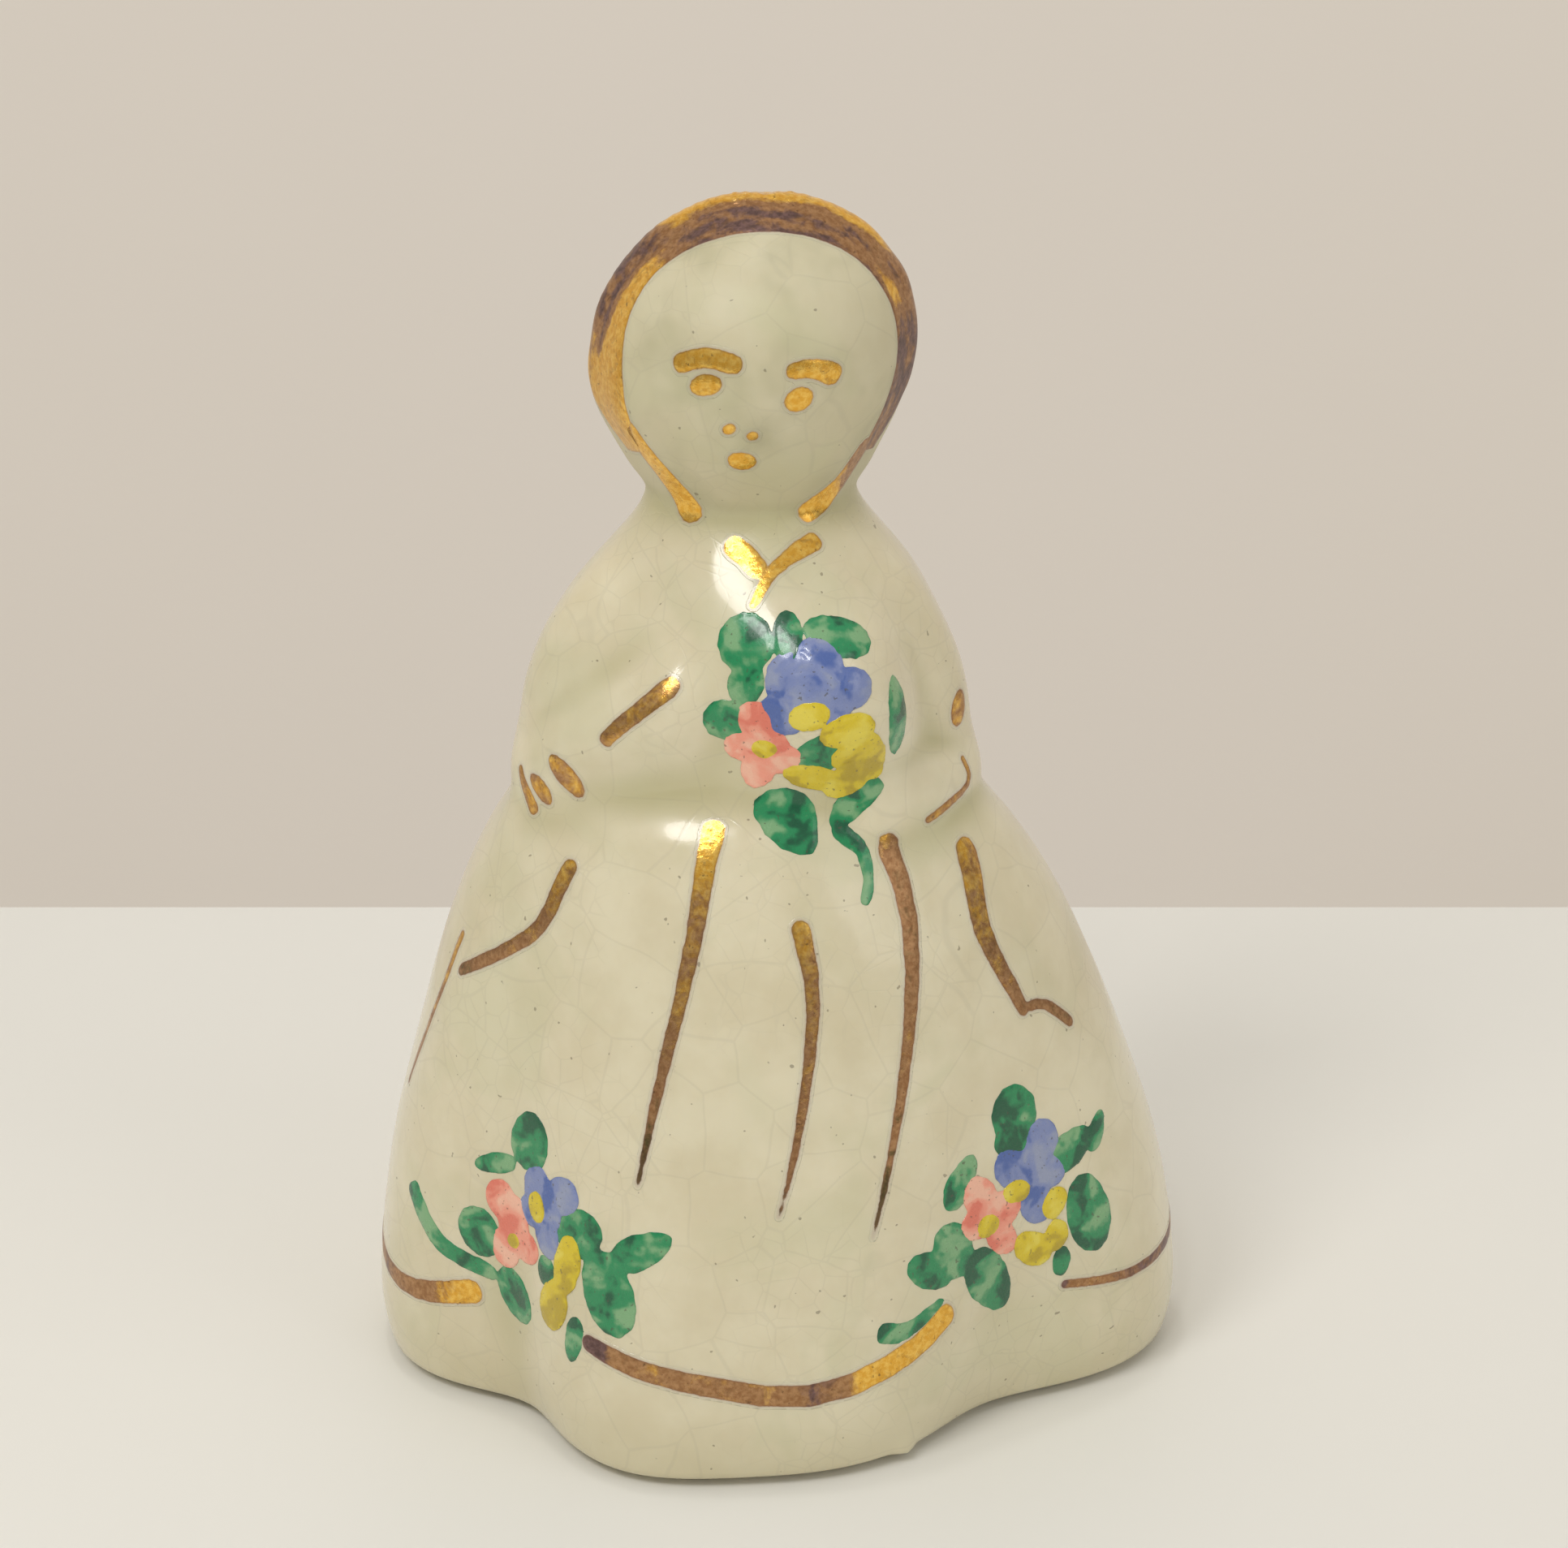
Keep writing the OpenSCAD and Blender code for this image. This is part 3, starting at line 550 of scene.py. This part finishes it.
def glaze_material():
    sh = Shader("crazed_ivory_glaze")
    return sh.finish(glaze_shader(sh))


BRIGHT_GOLD, PALE_GOLD = (0.80, 0.42, 0.05, 1), (0.95, 0.60, 0.13, 1)
DULL_GOLD, TAN_GOLD = (0.33, 0.16, 0.065, 1), (0.50, 0.28, 0.13, 1)
GOLD_SMUDGE = (0.22, 0.12, 0.05, 1)
GOLD_RIM = (0.24, 0.12, 0.08, 1)
GOLD_PIT = (0.12, 0.06, 0.03, 1)
GOLD_HALO = (0.45, 0.30, 0.26, 1)


def gold_material(name, tarnish, burnt):
    """Fired gold lustre: bright where thick, brown where thin and burnt at its worst, over the glaze."""
    sh = Shader(name)
    depth, tone = sh.attribute("depth"), sh.attribute("tone")
    mottle = sh.noise(1.1 * MM, 4, 0.65, 0.6)
    streak = sh.noise(0.35 * MM, 3, 0.6)
    # The tone attribute also carries the band's painted highlight
    wear_and_glint = sh.math("ADD", sh.math("MULTIPLY", mottle, 0.9), tone)
    wear_and_glint = sh.math("ADD", wear_and_glint, tarnish - 0.67)
    bright = sh.blend(sh.remap(streak, 0.35, 0.7), BRIGHT_GOLD, PALE_GOLD)
    brown = sh.blend(sh.remap(streak, 0.3, 0.7), DULL_GOLD, TAN_GOLD)
    burnt_light = tuple(2.0 * c for c in burnt) + (1,)
    scorched = sh.blend(sh.remap(streak, 0.3, 0.7), burnt + (1,), burnt_light)
    colour = sh.blend(sh.remap(wear_and_glint, 0.45, 0.8), bright, brown)
    colour = sh.blend(sh.remap(wear_and_glint, 0.95, 1.25), colour, scorched)
    smudge = sh.remap(sh.noise(0.8 * MM, 5, 0.7, 1.2), 0.5, 0.72)
    colour = sh.veil(colour, smudge, 0.45, GOLD_SMUDGE)
    rim = sh.remap(depth, 0.16, 0.0)
    colour = sh.veil(colour, rim, 0.45, GOLD_RIM)
    pits = sh.remap(sh.noise(0.28 * MM, 2, 0.5), 0.66, 0.74)
    colour = sh.veil(colour, pits, 0.6, GOLD_PIT)
    rough = sh.remap(wear_and_glint, 0.5, 1.1, 0.2, 0.36)
    relief = sh.bump(streak, 0.035 * MM, 0.7)
    metal = sh.surface({"Base Color": colour, "Metallic": 0.74, "Roughness": rough, "Normal": relief})
    fringe = sh.math("ADD", depth, sh.math("MULTIPLY", sh.math("SUBTRACT", streak, 0.5), 0.10))
    cover = sh.remap(fringe, -0.02, 0.03)
    stain = sh.math("MULTIPLY", sh.remap(fringe, -0.16, 0.0), 0.35)
    halo = sh.surface({"Base Color": GOLD_HALO, "Roughness": 0.2, "Coat Weight": 0.3})
    stained = sh.either(stain, glaze_shader(sh), halo)
    return sh.finish(sh.either(cover, stained, metal))


ENAMEL_SPECK = (0.08, 0.07, 0.04, 1)


def enamel_material(name, pale, middle, dark):
    """Brushed enamel, washed thin in places and gathered dark in others."""
    sh = Shader(name)
    depth = sh.attribute("depth")
    wash = sh.noise(1.9 * MM, 2, 0.5, 0.4)
    grain = sh.noise(0.3 * MM, 3, 0.6)
    value = sh.math("ADD", wash, sh.math("MULTIPLY", sh.math("SUBTRACT", grain, 0.5), 0.12))
    colour = sh.blend(sh.remap(value, 0.36, 0.50), pale, middle)
    colour = sh.blend(sh.remap(value, 0.52, 0.63), colour, dark)
    rim = sh.remap(depth, 0.16, 0.02)
    colour = sh.veil(colour, rim, 0.14, dark)
    specks = sh.remap(sh.noise(0.22 * MM, 1, 0.3), 0.70, 0.74)
    colour = sh.veil(colour, specks, 0.6, ENAMEL_SPECK)
    relief = sh.bump(grain, 0.02 * MM, 0.5)
    return sh.finish(sh.surface(
        {"Base Color": colour, "Roughness": sh.remap(grain, 0.3, 0.7, 0.16, 0.32), "Normal": relief,
         "Coat Weight": 0.4, "Coat Roughness": 0.08},
    ))


BRASS, DARK_BRASS = (0.74, 0.52, 0.22, 1), (0.30, 0.19, 0.09, 1)
CEMENT, PALE_CEMENT = (0.50, 0.48, 0.43, 1), (0.66, 0.64, 0.58, 1)
CEMENT_GRIT = (0.30, 0.28, 0.24, 1)
BEAD_WHITE, BEAD_PALE = (0.80, 0.78, 0.70, 1), (0.87, 0.86, 0.80, 1)
BEAD_SPECK = (0.25, 0.19, 0.12, 1)


def brass_material():
    """Drawn wire: metal with brown tarnish and fine scratches."""
    sh = Shader("drawn_brass_wire")
    tarnish = sh.remap(sh.noise(1.4 * MM, 4, 0.65, 0.5), 0.42, 0.66)
    colour = sh.blend(tarnish, BRASS, DARK_BRASS)
    scratches = sh.noise(0.12 * MM, 3, 0.7)
    return sh.finish(sh.surface(
        {"Base Color": colour, "Metallic": 1.0, "Roughness": sh.remap(tarnish, 0, 1, 0.28, 0.5),
         "Normal": sh.bump(scratches, 0.01 * MM, 0.5)},
    ))


def cement_material():
    """Set cement: matt and gritty."""
    sh = Shader("set_cement")
    clumps, grit = sh.noise(1.2 * MM, 5, 0.65), sh.noise(0.25 * MM, 3, 0.6)
    colour = sh.blend(sh.remap(clumps, 0.35, 0.65), CEMENT, PALE_CEMENT)
    colour = sh.blend(sh.remap(grit, 0.62, 0.72), colour, CEMENT_GRIT)
    height = sh.math("ADD", clumps, sh.math("MULTIPLY", grit, 0.4))
    return sh.finish(sh.surface(
        {"Base Color": colour, "Roughness": 0.92, "Normal": sh.bump(height, 0.12 * MM, 0.8)},
    ))


def bead_material():
    """White glazed porcelain with a few specks."""
    sh = Shader("white_glazed_bead")
    clouds = sh.noise(2.5 * MM, 3)
    colour = sh.blend(sh.remap(clouds, 0.3, 0.7), BEAD_WHITE, BEAD_PALE)
    specks = sh.remap(sh.noise(0.4 * MM, 1, 0.3), 0.74, 0.78)
    colour = sh.veil(colour, specks, 0.5, BEAD_SPECK)
    return sh.finish(sh.surface(
        {"Base Color": colour, "Roughness": 0.18, "Normal": sh.bump(clouds, 0.03 * MM, 0.5),
         "Coat Weight": 0.4, "Coat Roughness": 0.06},
    ))


# ---- How the gold wears, with a painted glint on the band: 0 is bright, 1 is tarnished ----
def strokes_of(node):
    """The corners of each separate brush line of a CAD node, from left to right."""
    bm = welded(node)
    left, strokes = set(bm.verts), []
    while left:
        stroke, front = set(), [left.pop()]
        while front:
            vert = front.pop()
            stroke.add(vert)
            linked = {e.other_vert(vert) for e in vert.link_edges} & left
            left -= linked
            front.extend(linked)
        strokes.append(np.array([v.co[:] for v in stroke]))
    bm.free()
    return sorted(strokes, key=lambda corners: corners[:, 0].mean())


def along_strokes(node, axis, profiles):
    """Tone that runs along each brush line, in the direction of an axis. A profile is a list of
    pairs (share of the way, tone). There is one for each line from left to right, or one for all."""
    strokes = strokes_of(node)
    direction = np.array(axis, float)
    lookup = kd_of(np.concatenate(strokes))
    owner = np.repeat(np.arange(len(strokes)), [len(s) for s in strokes])
    ends = [((s @ direction).min(), (s @ direction).max()) for s in strokes]

    def tone(points):
        values = np.zeros(len(points))
        for i, p in enumerate(points):
            k = owner[lookup.find(p)[1]]
            low, high = ends[k]
            profile = profiles[min(k, len(profiles) - 1)]
            share = (p @ direction - low) / (high - low)
            values[i] = np.interp(share, [at for at, _ in profile], [value for _, value in profile])
        return values

    return tone


def band_tone(points):
    """Bright along the crest at the top and along the inner edge on the left, dull between, with a painted
    highlight where a glint falls on the right.
    """
    d = points - np.array(head_centre)
    clock = np.degrees(np.arctan2(d[:, 0], d[:, 2]))
    forward = np.degrees(np.arcsin(np.clip(-d[:, 1] / np.linalg.norm(d, axis=1), -1, 1)))
    crest = step(9, -3, forward) * step(62, 28, np.abs(clock - 10))
    inner = step(8, 16, forward) * step(-30, -60, clock)
    low_left = step(-75, -100, clock)
    # Painted highlight: a bright spot on the band's right side where a glint falls
    right_glint = np.exp(-(((forward - 12) / 5) ** 2) - ((clock - 62) / 14) ** 2)
    bright = np.clip(crest + inner + 0.7 * low_left + 0.6 * right_glint, 0, 1)
    stretched = points * np.array((0.5, 1.8, 0.5))
    streaks = 0.25 * noise_at(stretched, 0.9 * MM, 4.4) + 0.2 * noise_at(points, 2.5 * MM, 9.1)
    return 1.0 - bright + streaks


# ---- Build ----
# Colours of burnt gold, without their opacity
PURPLE = (0.12, 0.07, 0.065)
OLIVE = (0.07, 0.055, 0.02)
materials = {
    "glaze": glaze_material(),
    "gold": gold_material("gold_lustre_bright", 0.25, PURPLE),
    "gold_band": gold_material("gold_lustre_band", 0.35, PURPLE),
    "gold_worn": gold_material("gold_lustre_worn", 0.4, PURPLE),
    "gold_thin": gold_material("gold_lustre_thin", 0.4, OLIVE),
    "leaves": enamel_material(
        "green_enamel_wash", (0.22, 0.44, 0.21, 1), (0.015, 0.27, 0.095, 1), (0.001, 0.10, 0.038, 1)),
    "blue": enamel_material(
        "blue_enamel_wash", (0.31, 0.35, 0.50, 1), (0.22, 0.27, 0.50, 1), (0.08, 0.14, 0.40, 1)),
    "pink": enamel_material(
        "pink_enamel_wash", (0.94, 0.52, 0.37, 1), (0.92, 0.35, 0.24, 1), (0.80, 0.20, 0.13, 1)),
    "yellow": enamel_material(
        "yellow_enamel_wash", (0.82, 0.68, 0.07, 1), (0.74, 0.57, 0.008, 1), (0.52, 0.38, 0.006, 1)),
}

skin = figure_skin()

# How tone runs along the brush lines, as pairs (share of the way, tone)
DOWN, RIGHT = (0, 0, -1), (1, 0, 0)
FOLDS = [
    [(0, 0.0), (0.08, 0.1), (0.2, 0.45), (0.6, 0.6), (0.8, 0.85), (0.95, 1.2)],
    [(0, 0.3), (0.15, 0.5), (0.7, 0.65), (1, 0.95)],
    [(0, 0.4), (0.08, 0.75), (0.3, 0.8), (0.5, 0.6), (0.8, 0.85), (0.95, 1.2)],
]
TIES = [
    [(0, 0.7), (0.2, 0.35), (0.4, 0.15), (1, 0.1)],
    [(0, 0.1), (0.4, 0.3), (0.7, 0.8), (1, 0.9)],
]
DRAPE = [(0, 0.4), (0.3, 0.5), (0.7, 0.6), (1, 0.9)]
SWAGS = [
    [(0, 0.9), (0.55, 0.6), (0.8, 0.2), (1, 0.05)],
    [(0, 1.6), (0.05, 1.3), (0.09, 0.65), (0.5, 0.6), (0.62, 0.95), (0.7, 0.75), (0.76, 0.15), (1, 0.1)],
    [(0, 1.3), (0.1, 0.6), (0.4, 0.7), (0.7, 0.95), (1, 1.0)],
]
GOLD = {
    "gold_hair_band": ("gold_band", band_tone),
    "gold_bonnet_ties": ("gold", along_strokes("gold_bonnet_ties", RIGHT, TIES)),
    "gold_face": ("gold", even_tone(0.1)),
    "gold_collar": ("gold", even_tone(0.15)),
    "gold_sleeves": ("gold_worn", even_tone(0.5)),
    "gold_skirt_folds": ("gold_thin", along_strokes("gold_skirt_folds", DOWN, FOLDS)),
    "gold_drapes": ("gold_thin", along_strokes("gold_drapes", DOWN, [DRAPE])),
    "gold_hem_swags": ("gold_worn", along_strokes("gold_hem_swags", RIGHT, SWAGS)),
}
GOLD_COAT = {"layer": 0.012 * MM, "thick": 0.03 * MM, "margin": 0.2 * MM, "ragged": 0.05 * MM}
GOLD_GROW, TIES_GROW = 0.03 * MM, 0.25 * MM
for node, (finish, tone) in GOLD.items():
    grow = TIES_GROW if node == "gold_bonnet_ties" else GOLD_GROW
    coat(skin, node, "gold_lustre", materials[finish], **GOLD_COAT, grow=grow, tone=tone)

# Each colour's height above the skin follows the order of painting
ENAMEL_COAT = {"thick": 0.03 * MM, "margin": 0.0, "ragged": 0.08 * MM}
GROWS = {"posy": 0.02 * MM, "left": 0.14 * MM, "right": 0.14 * MM}
LAYERS = {"leaves": 0.01 * MM, "blue": 0.03 * MM, "pink": 0.035 * MM, "yellow": 0.06 * MM}
for group, grow in GROWS.items():
    for colour, layer in LAYERS.items():
        coat(
            skin, f"{group}_{colour}", f"{colour.replace('leaves', 'green')}_enamel", materials[colour],
            layer=layer, **ENAMEL_COAT, grow=grow, tone=even_tone(0.5),
        )

show("porcelain_body", skin, "bell", materials["glaze"], "bell_body")

for node, material in {
    "cement_plug": cement_material(),
    "clapper_ball": bead_material(),
    "staple": brass_material(),
    "hanger_ring": brass_material(),
    "clapper_shank": brass_material(),
    "clapper_stop": brass_material(),
}.items():
    nodes[node].data.materials.clear()
    nodes[node].data.materials.append(material)
    nodes[node].data.shade_smooth()


# ---- Studio ----
SHELF_Y = 65 * MM
WALL_Y = 0.42
ROOM = 1.5
FLOOR_PAINT = (0.89, 0.88, 0.83, 1)
WALL_PAINT = (0.80, 0.755, 0.68, 1)
WALL_GLOW = (0.80, 0.68, 0.55, 1)
MIDDLE = (0, 0, 38 * MM)
WARM, NEUTRAL = (1.0, 0.98, 0.96), (1.0, 0.99, 0.97)
LIGHTS = [
    {"name": "key", "place": (-0.25, -0.30, 0.50), "size": 0.20, "power": 0.95, "colour": WARM},
    {"name": "glint", "place": (-0.08, -0.30, 0.42), "size": 0.045, "power": 0.16, "colour": NEUTRAL},
    {"name": "ceiling", "place": (-0.05, 0.03, 0.55), "size": 0.05, "power": 0.16, "colour": NEUTRAL},
    {"name": "fill", "place": (0.45, -0.35, 0.30), "size": 0.40, "power": 0.37, "colour": WARM},
]


def plain_material(name, colour, rough, glow=0.0):
    """Paint for the floor and the wall. glow stands for the room's light that reaches only the wall."""
    sh = Shader(name)
    tone = sh.blend(sh.noise(40 * MM, 3), colour, tuple(0.97 * c for c in colour[:3]) + (1,))
    return sh.finish(sh.surface(
        {"Base Color": tone, "Roughness": rough, "Normal": sh.bump(sh.noise(2 * MM, 4), 0.05 * MM, 0.4),
         "Emission Color": WALL_GLOW, "Emission Strength": glow},
    ))


def sheet(name, corners, material):
    """A flat piece of the stage."""
    mesh = bpy.data.meshes.new(name)
    mesh.from_pydata(corners, [], [(0, 1, 2, 3)])
    mesh.materials.append(material)
    obj = bpy.data.objects.new(name, mesh)
    bpy.context.scene.collection.objects.link(obj)


def area_light(name, place, size, power, colour):
    """A round light that points at the middle of the bell."""
    data = bpy.data.lights.new(name, "AREA")
    data.shape = "DISK"
    data.size = size
    data.energy = power
    data.color = colour
    obj = bpy.data.objects.new(name, data)
    bpy.context.scene.collection.objects.link(obj)
    obj.location = place
    obj.rotation_euler = (Vector(MIDDLE) - Vector(place)).to_track_quat("-Z", "Y").to_euler()


sheet(
    "floor", [(-ROOM, -ROOM, 0), (ROOM, -ROOM, 0), (ROOM, SHELF_Y, 0), (-ROOM, SHELF_Y, 0)],
    plain_material("floor_paint", FLOOR_PAINT, 0.5),
)
sheet(
    "wall", [(-ROOM, WALL_Y, -ROOM), (ROOM, WALL_Y, -ROOM), (ROOM, WALL_Y, ROOM), (-ROOM, WALL_Y, ROOM)],
    plain_material("wall_paint", WALL_PAINT, 0.7, 0.33),
)
for light in LIGHTS:
    area_light(**light)

# The room is brighter overhead than at the sides
SIDE_LEVEL, TOP_LEVEL = 0.24, 0.60
world = bpy.data.worlds.new("soft_room")
world.use_nodes = True
tree = world.node_tree
direction = tree.nodes.new("ShaderNodeTexCoord").outputs["Generated"]
parts = tree.nodes.new("ShaderNodeSeparateXYZ")
tree.links.new(direction, parts.inputs[0])
level = tree.nodes.new("ShaderNodeMapRange")
level.inputs["From Min"].default_value = -0.2
level.inputs["From Max"].default_value = 0.9
level.inputs["To Min"].default_value = SIDE_LEVEL
level.inputs["To Max"].default_value = TOP_LEVEL
tree.links.new(parts.outputs["Z"], level.inputs["Value"])
background = tree.nodes["Background"]
background.inputs["Color"].default_value = NEUTRAL + (1,)
tree.links.new(level.outputs["Result"], background.inputs["Strength"])
bpy.context.scene.world = world


# ---- Camera ----
TARGET = Vector((0, 1.5, 34)) * MM
DISTANCE = 270 * MM
ELEVATION = math.radians(24)
camera_data = bpy.data.cameras.new("camera")
camera_data.sensor_width = 36
camera_data.lens = 101
camera_data.shift_x = 0.003
camera_data.shift_y = 0.042
camera_data.clip_start = 10 * MM
camera = bpy.data.objects.new("camera", camera_data)
bpy.context.scene.collection.objects.link(camera)
back = Vector((0, -math.cos(ELEVATION), math.sin(ELEVATION)))
camera.location = TARGET + back * DISTANCE
camera.rotation_euler = (-back).to_track_quat("-Z", "Y").to_euler()
bpy.context.scene.camera = camera
bpy.context.scene.view_settings.view_transform = "Standard"
